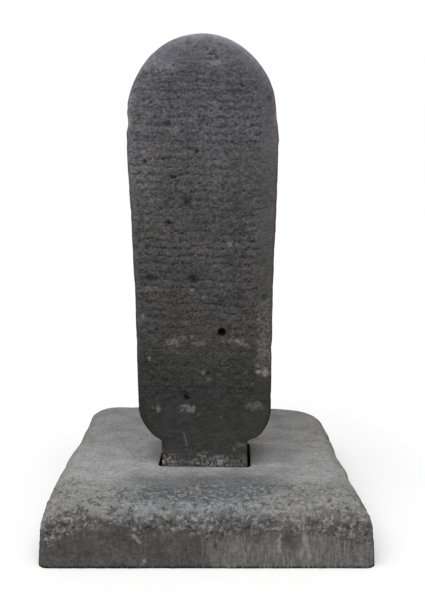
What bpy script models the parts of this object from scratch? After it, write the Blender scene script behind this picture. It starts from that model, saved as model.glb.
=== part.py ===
"""Inscribed stone stele that stands by a tenon in the mortise of a low plinth.

Blender 4.5, metres, +Z up. The origin is the centre of the plinth's underside, and the inscribed
face of the stele looks along -Y.
"""

import math
import random

import bmesh
import bpy
from mathutils import Matrix, Vector

# Plinth: a low, nearly square block, worn round along its upper edge
PLINTH_WIDTH = 1.110
PLINTH_DEPTH = 1.150
PLINTH_HEIGHT = 0.20
PLINTH_BATTER = 0.006
PLINTH_RIM_RADIUS = 0.080
BACK_RIM_SHARE = 0.35
PLINTH_BACK_SKEW = 0.035
PLINTH_SIDE_SKEW = 0.018
FRONT_CORNER_RADIUS = 0.035
BACK_LEFT_CORNER_RADIUS = 0.060
BACK_RIGHT_CORNER_RADIUS = 0.120
CORNER_GROWTH = 0.6
RIM_STEPS = 4
TOP_CELLS = 12
PLINTH_WEAR = 0.004

# Slab of the stele, with heights counted from the top of the plinth
STELE_HEIGHT = 1.552
SLAB_THICKNESS = 0.250
HEAD_WIDTH = 0.537
WAIST_WIDTH = 0.494
CROWN_RISE = 0.315
CROWN_FULLNESS = 2.08
SHOULDER_TOP = 0.220
SHOULDER_DROP = 0.120
LEFT_SHOULDER_FULLNESS = 1.5
RIGHT_SHOULDER_FULLNESS = 1.9
ARRIS_RADIUS = 0.028
TENON_ARRIS_RADIUS = 0.008
CURVE_STEPS = 5
SLAB_LEAN = 0.0052
SLAB_WEAR = 0.0025

# Tenon of the stele and the mortise that holds it
TENON_WIDTH = 0.322
TENON_LENGTH = 0.120
LEFT_GAP = 0.013
RIGHT_GAP = 0.011
FRONT_GAP = 0.004
BACK_GAP = 0.010
FOOT_GAP = 0.0003
MORTISE_CORNER_RADIUS = 0.020
SETTING_OFFSET = Vector((0.0025, -0.080))
SETTING_TURN = math.radians(-2.0)

# Inscription: rows of shallow chisel strokes that are no letters, between two blank bands
HEAD_MARGIN = 0.097
FOOT_MARGIN = 0.037
ROW_PITCH = 0.0285
STROKE_PITCH = 0.036
STROKE_DEPTH = 0.004
STROKE_WIDTH = 0.009
STROKE_FILL = 0.68
LEVEL_SHARE = 0.45
BLANK_SHARE = 0.08
STROKE_SEED = 11

# Bored hole in the inscribed face
HOLE_RADIUS = 0.015
HOLE_DEPTH = 0.030
HOLE_X = 0.065
HOLE_HEIGHT = 0.509

STELE_COLOUR = (0.055, 0.055, 0.057, 1.0)
PLINTH_COLOUR = (0.230, 0.228, 0.222, 1.0)
STONE_ROUGHNESS = 0.9


def clear_scene():
    for obj in list(bpy.data.objects):
        bpy.data.objects.remove(obj, do_unlink=True)


def new_collection(name):
    collection = bpy.data.collections.new(name)
    bpy.context.scene.collection.children.link(collection)
    return collection


def stone_material(name, colour):
    material = bpy.data.materials.new(name)
    material.use_nodes = True
    shader = material.node_tree.nodes["Principled BSDF"]
    shader.inputs["Base Color"].default_value = colour
    shader.inputs["Roughness"].default_value = STONE_ROUGHNESS
    shader.inputs["Metallic"].default_value = 0.0
    return material


def object_from(bm, name, collection, material=None):
    bmesh.ops.recalc_face_normals(bm, faces=bm.faces)
    mesh = bpy.data.meshes.new(name)
    bm.to_mesh(mesh)
    bm.free()
    if material:
        mesh.materials.append(material)
    obj = bpy.data.objects.new(name, mesh)
    collection.objects.link(obj)
    return obj


def make_cutter(obj):
    obj.hide_render = True
    obj.display_type = "WIRE"
    return obj


def cut(target, cutter):
    boolean = target.modifiers.new(cutter.name, "BOOLEAN")
    boolean.operation = "DIFFERENCE"
    boolean.solver = "EXACT"
    boolean.object = cutter


def swell(across, up):
    """Slow waves of a hand-dressed face, from -1 to 1, for two coordinates in metres."""
    return (
        0.45 * math.sin(11.0 * across + 4.3 * up + 0.6)
        + 0.35 * math.sin(7.1 * up - 5.2 * across + 2.1)
        + 0.20 * math.sin(19.0 * up + 13.0 * across + 4.0)
    )


# Outline of the slab


def neck_half():
    return TENON_WIDTH / 2


def straight_half(height):
    """Half width of the flaring body: slow near the waist and quicker towards the head."""
    spring = STELE_HEIGHT - CROWN_RISE
    share = max(0.0, (height - SHOULDER_TOP) / (spring - SHOULDER_TOP))
    return (WAIST_WIDTH + (HEAD_WIDTH - WAIST_WIDTH) * share**1.5) / 2


def half_width(height, side):
    """Half width of the slab at a height above the plinth. side is -1 on the left, 1 on the right."""
    spring = STELE_HEIGHT - CROWN_RISE
    if height >= spring:
        rise = min(1.0, (height - spring) / CROWN_RISE)
        return HEAD_WIDTH / 2 * (1.0 - rise**CROWN_FULLNESS) ** (1.0 / CROWN_FULLNESS)
    if height >= SHOULDER_TOP:
        return straight_half(height)
    if height <= SHOULDER_TOP - SHOULDER_DROP:
        return neck_half()
    fullness = RIGHT_SHOULDER_FULLNESS if side > 0 else LEFT_SHOULDER_FULLNESS
    drop = (SHOULDER_TOP - height) / SHOULDER_DROP
    reach = (1.0 - drop**fullness) ** (1.0 / fullness)
    return neck_half() + (WAIST_WIDTH / 2 - neck_half()) * reach


def rim_distance(x, height):
    """Distance from a point of the face to the slab's outline, exact close to the outline."""
    spring = STELE_HEIGHT - CROWN_RISE
    across = HEAD_WIDTH / 2
    if height > spring:
        out = abs(x) / across
        up = (height - spring) / CROWN_RISE
        inside = 1.0 - out**CROWN_FULLNESS - up**CROWN_FULLNESS
        steep = CROWN_FULLNESS - 1.0
        slope = CROWN_FULLNESS * math.hypot(out**steep / across, up**steep / CROWN_RISE)
        return max(0.0, inside / slope)
    side = 1 if x > 0 else -1
    step = ARRIS_RADIUS / 10
    lean = (half_width(height + step, side) - half_width(height - step, side)) / (2 * step)
    return max(0.0, (half_width(height, side) - abs(x)) / math.hypot(1.0, lean))


def arris_radius(height):
    """The slab's edge is nearly sharp on the tenon and grows rounder over the shoulder."""
    share = 1.0 - (SHOULDER_TOP - height) / SHOULDER_DROP
    return TENON_ARRIS_RADIUS + (ARRIS_RADIUS - TENON_ARRIS_RADIUS) * max(0.0, min(1.0, share))


def arris_drop(distance, radius):
    """How far the face falls back at this distance from the outline: a quarter round."""
    inward = max(0.0, radius - distance)
    return radius - math.sqrt(radius**2 - inward**2)


def midline(height):
    """The slab's middle leans slowly to the left on its way up."""
    return -SLAB_LEAN * max(0.0, height)


def row_levels():
    """Heights of the face grid's lines, from the tenon's foot to the crown, and which rows hold text."""
    shoulder_foot = SHOULDER_TOP - SHOULDER_DROP
    turns = [math.radians(90) * step / CURVE_STEPS for step in range(1, CURVE_STEPS + 1)]
    below = [-TENON_LENGTH, 0.0, shoulder_foot / 2, shoulder_foot]
    below += [shoulder_foot + SHOULDER_DROP * (1.0 - math.cos(turn)) for turn in turns]
    head = STELE_HEIGHT - HEAD_MARGIN
    rows = int((head - SHOULDER_TOP - FOOT_MARGIN) / ROW_PITCH)
    text = [head - ROW_PITCH * (rows - row) for row in range(rows + 1)]
    crown = [head + HEAD_MARGIN * math.sin(turn) for turn in turns]
    levels = below + text + crown
    text_rows = range(len(below), len(below) + rows)
    return levels, text_rows


def column_shares():
    """Places of the text's columns as shares of the half width that lies inside the rounded edge."""
    columns = round((WAIST_WIDTH - 2 * ARRIS_RADIUS) / STROKE_PITCH)
    return [2 * column / columns - 1 for column in range(columns + 1)]


def face_grid():
    """The inscribed face of the slab: a grid laid into the outline, falling back along its rounded edge."""
    levels, text_rows = row_levels()
    shares = column_shares()
    # Two lines in the rounded edge on each side of the text columns, as shares of its radius
    edge_shares = (0.0, 0.3)
    first, last = len(edge_shares), len(edge_shares) + len(shares) - 1
    columns = last + len(edge_shares)
    rows = len(levels) - 1
    bm = bmesh.new()
    bmesh.ops.create_grid(bm, x_segments=columns, y_segments=rows, size=0.5)
    cells = []
    for face in bm.faces:
        centre = face.calc_center_median()
        column = int((centre.x + 0.5) * columns)
        row = int((centre.y + 0.5) * rows)
        if row in text_rows and first <= column < last:
            cells.append(face)
    for vertex in bm.verts:
        column = round((vertex.co.x + 0.5) * columns)
        height = levels[round((vertex.co.y + 0.5) * rows)]
        side = 1 if column > columns / 2 else -1
        half = half_width(height, side)
        radius = arris_radius(height)
        inset = min(radius, 0.5 * half)
        if first <= column <= last:
            x = shares[column - first] * (half - inset)
        else:
            x = side * (half - edge_shares[min(column, columns - column)] * inset)
        drop = arris_drop(rim_distance(x, height), radius)
        vertex.co = Vector((x, drop - SLAB_THICKNESS / 2, height))
    return bm, cells


def close_slab(bm):
    """Draws the open rim back to the middle plane and mirrors the half to make the back."""
    rim = [edge for edge in bm.edges if edge.is_boundary]
    drawn = bmesh.ops.extrude_edge_only(bm, edges=rim)
    for item in drawn["geom"]:
        if isinstance(item, bmesh.types.BMVert):
            item.co.y = 0.0
    bmesh.ops.mirror(bm, geom=bm.verts[:] + bm.edges[:] + bm.faces[:], merge_dist=0.0001, axis="Y")
    bmesh.ops.remove_doubles(bm, verts=bm.verts, dist=0.0001)


def carve_strokes(bm, cells):
    """Turns cells of the face into chisel strokes: upright, level or slanting, deepest in the middle."""
    chance = random.Random(STROKE_SEED)
    carved = [cell for cell in cells if cell.is_valid and chance.random() > BLANK_SHARE]
    bmesh.ops.inset_individual(bm, faces=carved, thickness=STROKE_WIDTH / 4)
    for cell in carved:
        centre = cell.calc_center_median()
        room_across = max(abs(vertex.co.x - centre.x) for vertex in cell.verts)
        room_up = max(abs(vertex.co.z - centre.z) for vertex in cell.verts)
        if chance.random() < LEVEL_SHARE:
            across, up = STROKE_FILL * room_across, STROKE_WIDTH / 2
            slant = 0.0
        else:
            across, up = STROKE_WIDTH / 2, STROKE_FILL * room_up
            slant = chance.uniform(-0.3, 0.3) * room_across
        shift = chance.uniform(-1.0, 1.0) * (1.0 - STROKE_FILL) * room_across
        for vertex in cell.verts:
            right = 1 if vertex.co.x > centre.x else -1
            top = 1 if vertex.co.z > centre.z else -1
            vertex.co.x = centre.x + shift + right * across + top * slant
            vertex.co.z = centre.z + top * up
    bmesh.ops.poke(bm, faces=carved, offset=-STROKE_DEPTH)


def wear_slab(bm):
    """Leans the slab's middle and lets its faces and sides swell. The tenon keeps its size."""
    for vertex in bm.verts:
        x, y, height = vertex.co
        fade = min(1.0, max(0.0, height / SHOULDER_TOP))
        vertex.co.x += midline(height) + fade * SLAB_WEAR * swell(y, height)
        vertex.co.y += fade * SLAB_WEAR * swell(x, height)


def make_stele(collection, setting):
    bm, cells = face_grid()
    close_slab(bm)
    carve_strokes(bm, cells)
    wear_slab(bm)
    stele = object_from(bm, "stele", collection, stone_material("dark_stone", STELE_COLOUR))
    stele.parent = setting
    stele.data.shade_smooth()
    stele.data.set_sharp_from_angle(angle=math.radians(35))
    return stele


def make_hole_cutter(collection, setting):
    """A tapered plug, narrower at its inner end, that reaches a little out of the face."""
    clear = 0.5 * HOLE_DEPTH
    bm = bmesh.new()
    bmesh.ops.create_cone(
        bm,
        cap_ends=True,
        segments=10,
        radius1=HOLE_RADIUS * 1.15,
        radius2=HOLE_RADIUS * 0.6,
        depth=HOLE_DEPTH + clear,
    )
    inward = Matrix.Rotation(math.radians(-90), 4, "X")
    place = Vector((HOLE_X + midline(HOLE_HEIGHT), (HOLE_DEPTH - clear - SLAB_THICKNESS) / 2, HOLE_HEIGHT))
    bmesh.ops.transform(bm, matrix=Matrix.Translation(place) @ inward, verts=bm.verts)
    cutter = make_cutter(object_from(bm, "hole_cutter", collection))
    cutter.parent = setting
    return cutter


# Plinth


def corner_radius(across, along):
    """Radius in plan of the corner on this side, at the plinth's foot."""
    if along < 0:
        return FRONT_CORNER_RADIUS
    return BACK_RIGHT_CORNER_RADIUS if across > 0 else BACK_LEFT_CORNER_RADIUS


def plan_point(across, along, inset):
    """Where a point of the square from -1 to 1 lies in the plinth's outline, drawn in by inset.
    The back is less worn, so it is drawn in less."""
    reach = max(abs(across), abs(along))
    room_across = PLINTH_WIDTH / 2 - inset
    room_along = PLINTH_DEPTH / 2 - (inset if along < 0 else inset * BACK_RIM_SHARE)
    x = room_across * across
    y = room_along * along
    radius = reach * (corner_radius(across, along) + CORNER_GROWTH * inset)
    limit_x = room_across * reach - radius
    limit_y = room_along * reach - radius
    pivot_x = max(-limit_x, min(limit_x, x))
    pivot_y = max(-limit_y, min(limit_y, y))
    out = math.hypot(x - pivot_x, y - pivot_y)
    if out > 0.0:
        x = pivot_x + radius * (x - pivot_x) / out
        y = pivot_y + radius * (y - pivot_y) / out
    y -= PLINTH_BACK_SKEW * max(0.0, y / PLINTH_DEPTH) * (1.0 + 2.0 * x / PLINTH_WIDTH)
    x -= PLINTH_SIDE_SKEW * y / PLINTH_DEPTH
    return x, y


def rim_rings():
    """Inset and height of each ring below the plinth's flat top, down the rounded rim to the foot."""
    rings = []
    for step in range(1, RIM_STEPS + 1):
        turn = math.radians(90) * (1.0 - step / RIM_STEPS)
        inset = PLINTH_BATTER + PLINTH_RIM_RADIUS * (1.0 - math.cos(turn))
        rings.append((inset, PLINTH_HEIGHT - PLINTH_RIM_RADIUS * (1.0 - math.sin(turn))))
    return rings + [(0.0, 0.0)]


def plinth_block():
    """A grid laid into the top's outline, drawn down ring by ring and closed by a flat underside."""
    bm = bmesh.new()
    share = bm.verts.layers.float_vector.new("share")
    bmesh.ops.create_grid(bm, x_segments=TOP_CELLS, y_segments=TOP_CELLS, size=1.0)
    for vertex in bm.verts:
        # The columns gather towards the corners, so that their rounding is even
        across = math.sin(math.radians(90) * vertex.co.x)
        along = math.sin(math.radians(90) * vertex.co.y)
        vertex[share] = Vector((across, along, 0.0))
        x, y = plan_point(across, along, PLINTH_BATTER + PLINTH_RIM_RADIUS)
        vertex.co = Vector((x, y, PLINTH_HEIGHT))
    for inset, height in rim_rings():
        rim = [edge for edge in bm.edges if edge.is_boundary]
        drawn = bmesh.ops.extrude_edge_only(bm, edges=rim)["geom"]
        for vertex in (item for item in drawn if isinstance(item, bmesh.types.BMVert)):
            across, along = vertex[share].xy
            x, y = plan_point(across, along, inset)
            vertex.co = Vector((x, y, height))
    bmesh.ops.contextual_create(bm, geom=[edge for edge in bm.edges if edge.is_boundary])
    bm.verts.layers.float_vector.remove(share)
    return bm


def wear_plinth(bm):
    """Lets the top and the sides swell. The underside stays flat."""
    bm.normal_update()
    moves = []
    for vertex in bm.verts:
        x, y, z = vertex.co
        wave = PLINTH_WEAR * (swell(0.8 * x, 0.9 * y) + 0.6 * swell(1.9 * y, 1.7 * x))
        rise = z / PLINTH_HEIGHT
        moves.append(vertex.normal * wave * rise)
    for vertex, move in zip(bm.verts, moves):
        vertex.co += move


def make_plinth(collection):
    bm = plinth_block()
    bmesh.ops.recalc_face_normals(bm, faces=bm.faces)
    wear_plinth(bm)
    plinth = object_from(bm, "plinth", collection, stone_material("grey_stone", PLINTH_COLOUR))
    plinth.data.shade_smooth()
    plinth.data.set_sharp_from_angle(angle=math.radians(35))
    return plinth


def make_mortise_cutter(collection, setting):
    """A block as wide as the tenon and its gaps, with rounded upright corners, standing out of the top."""
    width = TENON_WIDTH + LEFT_GAP + RIGHT_GAP
    depth = SLAB_THICKNESS + FRONT_GAP + BACK_GAP
    floor = -TENON_LENGTH - FOOT_GAP
    clear = PLINTH_HEIGHT / 2
    bm = bmesh.new()
    bmesh.ops.create_cube(bm, size=1.0)
    middle = Vector(((RIGHT_GAP - LEFT_GAP) / 2, (BACK_GAP - FRONT_GAP) / 2, (clear + floor) / 2))
    size = Matrix.Diagonal((width, depth, clear - floor, 1.0))
    bmesh.ops.transform(bm, matrix=Matrix.Translation(middle) @ size, verts=bm.verts)
    uprights = [edge for edge in bm.edges if edge.verts[0].co.xy == edge.verts[1].co.xy]
    bmesh.ops.bevel(
        bm, geom=uprights, offset=MORTISE_CORNER_RADIUS, segments=2, profile=0.5, affect="EDGES"
    )
    cutter = make_cutter(object_from(bm, "mortise_cutter", collection))
    cutter.parent = setting
    return cutter


def make_setting(collection):
    """The place where the slab meets the plinth's top, in the middle of the tenon."""
    setting = bpy.data.objects.new("setting", None)
    collection.objects.link(setting)
    setting.location = (*SETTING_OFFSET, PLINTH_HEIGHT)
    setting.rotation_euler.z = SETTING_TURN
    return setting


def main():
    clear_scene()
    parts = new_collection("inscribed_stele")
    cutters = new_collection("cutters")
    setting = make_setting(parts)
    plinth = make_plinth(parts)
    stele = make_stele(parts, setting)
    cut(plinth, make_mortise_cutter(cutters, setting))
    cut(stele, make_hole_cutter(cutters, setting))


main()
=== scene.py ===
import itertools

import bmesh
import bpy
import numpy as np
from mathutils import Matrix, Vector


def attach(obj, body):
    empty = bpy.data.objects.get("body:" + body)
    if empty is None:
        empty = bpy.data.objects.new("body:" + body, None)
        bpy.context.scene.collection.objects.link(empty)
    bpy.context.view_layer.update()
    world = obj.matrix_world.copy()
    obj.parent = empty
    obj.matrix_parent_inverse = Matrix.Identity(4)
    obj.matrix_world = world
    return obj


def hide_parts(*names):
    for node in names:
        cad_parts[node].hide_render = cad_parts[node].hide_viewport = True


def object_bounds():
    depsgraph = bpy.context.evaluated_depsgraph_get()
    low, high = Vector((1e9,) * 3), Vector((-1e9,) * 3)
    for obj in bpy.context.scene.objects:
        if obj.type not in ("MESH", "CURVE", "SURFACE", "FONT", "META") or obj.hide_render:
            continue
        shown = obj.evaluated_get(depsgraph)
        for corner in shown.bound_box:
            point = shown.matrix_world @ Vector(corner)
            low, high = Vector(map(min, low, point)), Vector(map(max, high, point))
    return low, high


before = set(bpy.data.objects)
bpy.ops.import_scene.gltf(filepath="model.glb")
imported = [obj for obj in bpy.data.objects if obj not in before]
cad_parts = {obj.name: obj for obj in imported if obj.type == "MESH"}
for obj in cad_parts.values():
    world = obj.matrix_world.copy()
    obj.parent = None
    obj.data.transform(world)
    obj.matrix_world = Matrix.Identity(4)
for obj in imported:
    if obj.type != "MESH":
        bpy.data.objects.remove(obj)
cad_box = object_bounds()

# ---- Plinth ----
# One low, squared block of pale grey stone. Its upper edge is worn round and chipped, and a mortise
# is cut down into its top, a little wider than the tenon that it holds. It stands on the ground by
# its own weight.
PLINTH_WIDTH = 1.110
PLINTH_DEPTH = 1.150
PLINTH_HEIGHT = 0.20
PLINTH_BATTER = 0.006
RIM_RADIUS = 0.080
BACK_RIM_SHARE = 0.35
FRONT_CORNER = 0.035
BACK_LEFT_CORNER = 0.060
BACK_RIGHT_CORNER = 0.120
CORNER_GROWTH = 0.6
BACK_SKEW = 0.035
SIDE_SKEW = 0.018
MORTISE_WIDTH = 0.346
MORTISE_DEPTH = 0.264
MORTISE_SINK = 0.1203
MORTISE_CORNER = 0.020
MORTISE_LIP = 0.003
MORTISE_SHIFT = (-0.001, 0.003)
SETTING_PLACE = (0.0025, -0.080)
SETTING_TURN = np.radians(-2.0)
FRONT_POINTS, SIDE_POINTS, BACK_POINTS = 264, 160, 126
UNDERSIDE_SHARES = (0.3, 0.7, 0.96)
MORTISE_WALL_SHARES = (0.1, 0.25, 0.5, 0.75, 1.0)
SIDE_RINGS, RIM_RINGS, TOP_RINGS = 28, 30, 62
FOOT_STEP = 0.003
WELD_DISTANCE = 2e-5
# How deep each kind of wear goes into the plinth, and how far its long sides stand out
WAVE_DEPTH = 0.004
RIM_CHIP_DEPTH = 0.013
KNOCK_DEPTH = 0.005
CRUST_DEPTH = 0.0030
CRUST_PIT_DEPTH = 0.0040
TOOLING_DEPTH = 0.0014
BLOCK_GRAIN_DEPTH = 0.0008
DEEPEST_WEAR = 0.014
DEEPEST_NOTCH = 0.010
LONG_SIDES_OUT = 0.0042
# How light its stone is in linear light: top, dark patch before the tenon, sides and crust. The
# side value is set darker by painted shade
TOP_LIGHT = 0.285
PATCH_LIGHT = 0.128
SHADED_SIDE_LIGHT = 0.092
CRUST_LIGHT = 0.190


def swell(across, up):
    """Slow waves of a hand-dressed face: three sines of the two coordinates in metres, added, from
    -1 to 1."""
    return (
        0.45 * np.sin(11.0 * across + 4.3 * up + 0.6)
        + 0.35 * np.sin(7.1 * up - 5.2 * across + 2.1)
        + 0.20 * np.sin(19.0 * up + 13.0 * across + 4.0)
    )


def cloud(places, size, seed):
    """Smooth random heights from -1 to 1: the corners of a cubic lattice of this size hold seeded
    random numbers, and a point blends the eight corners of its cell with the weights 3t^2 -
    2t^3."""
    table = np.random.default_rng(seed).uniform(-1.0, 1.0, (16, 16, 16))
    scaled = places / np.asarray(size)
    cell = np.floor(scaled).astype(int)
    share = scaled - cell
    share = share * share * (3.0 - 2.0 * share)
    total = np.zeros(places.shape[:-1])
    for corner in itertools.product((0, 1), repeat=3):
        weight = np.prod(np.where(corner, share, 1.0 - share), axis=-1)
        at = (cell + corner) % 16
        total += weight * table[at[..., 0], at[..., 1], at[..., 2]]
    return total


def grain(places, size, seed, octaves=4):
    """Rough random heights: clouds of halving size and halving strength, added and scaled to about
    -1 to 1."""
    sizes = np.asarray(size, float)
    layers = [cloud(places, sizes / 2**k, seed + k) / 2**k for k in range(octaves)]
    return sum(layers) / 1.4


def pits(places, size, seed, smallest=0.25, largest=0.6):
    """Round hollows, 0 to 1: each cell of a cubic lattice holds one centre and one radius, both
    random, and the depth at a distance d is (1 - (d / radius)^2)^2 of the deepest of the 27 hollows
    around."""
    chance = np.random.default_rng(seed)
    centres = chance.uniform(0.2, 0.8, (16, 16, 16, 3))
    radii = chance.uniform(smallest, largest, (16, 16, 16))
    scaled = places / size
    cell = np.floor(scaled).astype(int)
    deepest = np.zeros(places.shape[:-1])
    for step in itertools.product((-1, 0, 1), repeat=3):
        at = (cell + step) % 16
        index = at[..., 0], at[..., 1], at[..., 2]
        away = np.sum((cell + step + centres[index] - scaled) ** 2, axis=-1)
        deepest = np.maximum(deepest, np.clip(1.0 - away / radii[index] ** 2, 0.0, 1.0) ** 2)
    return deepest


def ramp(value, low, high):
    """0 below low, 1 above high and a smooth step between, also when low is above high."""
    share = np.clip((value - low) / (high - low), 0.0, 1.0)
    return share * share * (3.0 - 2.0 * share)


def curve(value, points):
    """The height over a value on straight lines between points, each a value and its height."""
    return np.interp(value, *np.transpose(points))


def facing(grid):
    """Unit normals of a grid of closed rings, from the cross product of its two differences."""
    along = np.gradient(grid, axis=0)
    across = np.roll(grid, -1, axis=1) - np.roll(grid, 1, axis=1)
    normal = np.cross(along, across)
    length = np.linalg.norm(normal, axis=-1, keepdims=True)
    return normal / np.maximum(length, 1e-12)


def stone_piece(name, rings, tones, caps):
    """A closed mesh from rings of points: quads between each ring and the next, and one flat face
    on the first or last ring where caps asks for it. tones are values or colours kept on the points
    for the material."""
    count, around = rings.shape[:2]
    index = np.arange(count * around).reshape(count, around)
    following = np.roll(index, -1, axis=1)
    quads = np.stack([index[:-1], following[:-1], following[1:], index[1:]], axis=-1).reshape(-1, 4)
    faces = quads.tolist()
    if caps[0]:
        faces.append(index[0][::-1].tolist())
    if caps[1]:
        faces.append(index[-1].tolist())
    mesh = bpy.data.meshes.new(name)
    mesh.from_pydata(rings.reshape(-1, 3), [], faces)
    for tone, values in tones.items():
        is_colour = np.ndim(values) == 3
        kind, field = ("FLOAT_COLOR", "color") if is_colour else ("FLOAT", "value")
        attribute = mesh.attributes.new(tone, kind, "POINT")
        attribute.data.foreach_set(field, np.asarray(values, np.float32).ravel())
    bm = bmesh.new()
    bm.from_mesh(mesh)
    bmesh.ops.remove_doubles(bm, verts=bm.verts, dist=WELD_DISTANCE)
    bmesh.ops.recalc_face_normals(bm, faces=bm.faces)
    bm.to_mesh(mesh)
    bm.free()
    mesh.shade_smooth()
    piece = bpy.data.objects.new(name, mesh)
    bpy.context.scene.collection.objects.link(piece)
    return piece


def stone_colour(shade, red_blue, green):
    """Red, green, blue and opacity of each point: the lightness, with red raised and blue lowered
    by half of red_blue, and green raised by green."""
    red, blue = 1.0 + red_blue / 2, 1.0 - red_blue / 2
    tint = np.stack(np.broadcast_arrays(red, 1.0 + green, blue), axis=-1)
    colour = shade[..., None] * tint
    return np.concatenate([colour, np.ones_like(shade)[..., None]], axis=-1)


def square_edge():
    """Points on the edge of the square from -1 to 1, counter-clockwise from its front left
    corner."""
    front = np.linspace(-1, 1, FRONT_POINTS, endpoint=False)
    side = np.linspace(-1, 1, SIDE_POINTS, endpoint=False)
    back = np.linspace(-1, 1, BACK_POINTS, endpoint=False)
    across = np.concatenate([front, np.ones(SIDE_POINTS), -back, -np.ones(SIDE_POINTS)])
    along = np.concatenate([-np.ones(FRONT_POINTS), side, np.ones(BACK_POINTS), -side])
    return across, along


edge_across, edge_along = square_edge()


def rounded_outline(half_x, half_y, radius):
    """The square's edge laid onto a rectangle whose corners have this radius: a point nearer to a
    corner than the radius moves onto the circle about the corner's pivot."""
    x, y = half_x * edge_across, half_y * edge_along
    pivot_x = np.clip(x, radius - half_x, half_x - radius)
    pivot_y = np.clip(y, radius - half_y, half_y - radius)
    out = np.hypot(x - pivot_x, y - pivot_y)
    scale = np.where(out > 0, radius / np.maximum(out, 1e-9), 1.0)
    return pivot_x + (x - pivot_x) * scale, pivot_y + (y - pivot_y) * scale


def block_ring(inset, height):
    """The plinth's outline drawn in by inset, at one height. The back is less worn, so it is drawn
    in less."""
    at_front = edge_along < 0
    back_corner = np.where(edge_across > 0, BACK_RIGHT_CORNER, BACK_LEFT_CORNER)
    radius = np.where(at_front, FRONT_CORNER, back_corner) + CORNER_GROWTH * inset
    half_y = PLINTH_DEPTH / 2 - np.where(at_front, inset, inset * BACK_RIM_SHARE)
    x, y = rounded_outline(PLINTH_WIDTH / 2 - inset, half_y, radius)
    y = y - BACK_SKEW * np.maximum(0.0, y / PLINTH_DEPTH) * (1.0 + 2.0 * x / PLINTH_WIDTH)
    x = x - SIDE_SKEW * y / PLINTH_DEPTH
    return np.stack([x, y, np.full_like(x, height)], axis=-1)


def mortise_ring(inset, height):
    """The mortise's outline drawn in by inset, at one height, turned with the stele."""
    x, y = rounded_outline(MORTISE_WIDTH / 2 - inset, MORTISE_DEPTH / 2 - inset, MORTISE_CORNER)
    x, y = x + MORTISE_SHIFT[0], y + MORTISE_SHIFT[1]
    c, s = np.cos(SETTING_TURN), np.sin(SETTING_TURN)
    x, y = SETTING_PLACE[0] + c * x - s * y, SETTING_PLACE[1] + s * x + c * y
    return np.stack([x, y, np.full_like(x, height)], axis=-1)


def plinth_rings():
    """The block as rings: out over the underside, up the side, round the rim by a quarter circle,
    over the top towards the mortise, over its lip, down its wall and in over its floor."""
    foot = block_ring(0.0, 0.0)
    rim_foot = PLINTH_HEIGHT - RIM_RADIUS
    rings = [foot * (share, share, 1.0) for share in UNDERSIDE_SHARES]
    even_heights = np.linspace(2 * FOOT_STEP, rim_foot, SIDE_RINGS, endpoint=False)
    side_heights = [0.0, FOOT_STEP, *even_heights]
    rings += [block_ring(PLINTH_BATTER * z / rim_foot, z) for z in side_heights]
    for turn in np.linspace(0.0, np.pi / 2, RIM_RINGS, endpoint=False):
        inset = PLINTH_BATTER + RIM_RADIUS * (1.0 - np.cos(turn))
        rings.append(block_ring(inset, rim_foot + RIM_RADIUS * np.sin(turn)))
    outer = block_ring(PLINTH_BATTER + RIM_RADIUS, PLINTH_HEIGHT)
    inner = mortise_ring(-MORTISE_LIP, PLINTH_HEIGHT)
    rings += [outer + (inner - outer) * share for share in np.linspace(0.0, 1.0, TOP_RINGS)]
    rings.append(mortise_ring(-0.3 * MORTISE_LIP, PLINTH_HEIGHT - 0.3 * MORTISE_LIP))
    rings.append(mortise_ring(0.0, PLINTH_HEIGHT - MORTISE_LIP))
    wall_heights = [PLINTH_HEIGHT - MORTISE_SINK * share for share in MORTISE_WALL_SHARES]
    rings += [mortise_ring(0.0, wall_height) for wall_height in wall_heights]
    floor = mortise_ring(0.0, PLINTH_HEIGHT - MORTISE_SINK)
    centre = floor.mean(axis=0)
    rings += [centre + (floor - centre) * share for share in (0.66, 0.33)]
    return np.array(rings)


rings = plinth_rings()
x, y, z = rings[..., 0], rings[..., 1], rings[..., 2]
outward = facing(rings)
first_side_ring = len(UNDERSIDE_SHARES)
if outward[first_side_ring + SIDE_RINGS // 2, :FRONT_POINTS, 1].mean() > 0:
    outward = -outward
# The lowest edge moves level, so that the underside stays flat
at_foot = z < 0.01
outward[..., 2] = np.where(at_foot, 0.0, outward[..., 2])
outward /= np.maximum(np.linalg.norm(outward, axis=-1, keepdims=True), 1e-9)
ring_number = np.arange(len(rings))
lip_ring = first_side_ring + 2 + SIDE_RINGS + RIM_RINGS + TOP_RINGS - 1
weathered = ((ring_number >= first_side_ring) & (ring_number < lip_ring))[:, None]
height_share = z / PLINTH_HEIGHT
wave = WAVE_DEPTH * (swell(0.8 * x, 0.9 * y) + 0.6 * swell(1.9 * y, 1.7 * x))
upper = ramp(z, 0.09, 0.15)
flat_top = ramp(outward[..., 2], 0.75, 0.97)
rim = upper * (1.0 - flat_top)
upright = 1.0 - ramp(outward[..., 2], 0.2, 0.6)
front_side = ramp(-outward[..., 1], 0.3, 0.7)
# The two long sides wander in and out: places along the side and how far the stone stands out there
left_wander_points = (
    (-0.57, -0.003), (-0.51, -0.003), (-0.45, 0.002), (-0.38, 0.004), (-0.31, 0.006),
    (-0.09, 0.006), (0.00, 0.004), (0.09, -0.002), (0.19, -0.007), (0.29, -0.003), (0.41, -0.002),
    (0.57, 0.0),
)
left_wander = curve(y, left_wander_points)
right_wander_points = (
    (-0.57, -0.002), (-0.51, -0.005), (-0.45, -0.004), (-0.31, -0.003), (-0.24, -0.006),
    (-0.17, -0.002), (-0.09, -0.006), (0.00, -0.010), (0.09, -0.004), (0.19, -0.003),
    (0.29, 0.002), (0.45, 0.0), (0.57, 0.0),
)
right_wander = curve(y, right_wander_points)
wander = np.where(x < 0, left_wander, right_wander) + LONG_SIDES_OUT
wander *= ramp(np.abs(x), 0.36, 0.50) * ramp(z, 0.06, 0.13)
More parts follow.
